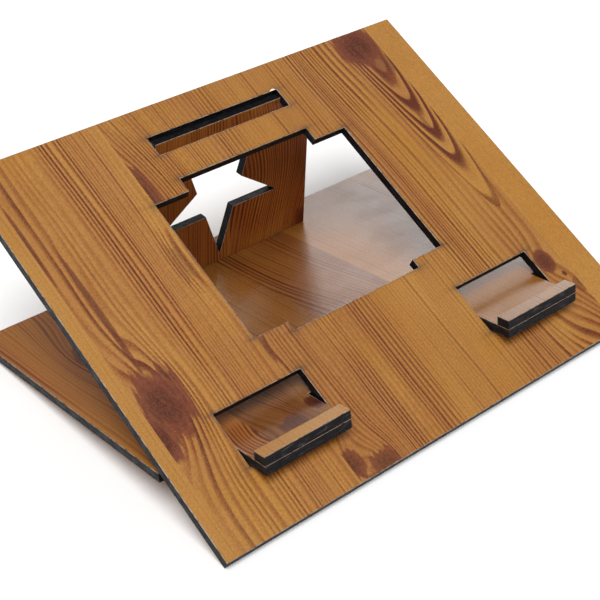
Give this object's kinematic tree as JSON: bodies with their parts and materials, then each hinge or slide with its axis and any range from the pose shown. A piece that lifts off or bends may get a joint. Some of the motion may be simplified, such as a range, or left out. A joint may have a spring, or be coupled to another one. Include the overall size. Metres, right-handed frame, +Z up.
{
  "type": "quran stand",
  "caption": "Sloping desk stand for a Quran: printed board with a stepped opening, lipped ledge tongues, and a star-cut prop panel standing on a base board.",
  "frame": {"origin": "on the table, under the middle of the stand's box", "axes": "+X to the reader's right, +Y away from the reader, +Z up"},
  "size_m": [0.3, 0.2332, 0.119],
  "materials": {
    "printed_board": "satin printed knotty-pine film on fibreboard, cut edges charred near black"
  },
  "bodies": {
    "base": {"base_board": "printed_board", "left_lip": "printed_board", "right_lip": "printed_board"},
    "board": {"reading_board": "printed_board"},
    "panel": {"star_panel": "printed_board"}
  },
  "joints": [
    {"name": "board_swing", "type": "hinge", "parent": "base", "child": "board", "pos_m": [0, -0.08527, 0.02132], "axis": [1, 0, 0], "range_deg": [0, 55]},
    {"name": "panel_lift", "type": "slide", "parent": "base", "child": "panel", "axis": [0, -0.0948, 0.9955], "range_m": [0, 0.03]}
  ],
  "couplings": [
    {"joint": "panel_lift", "follows": "board_swing", "m_per_rad": 0.031}
  ]
}
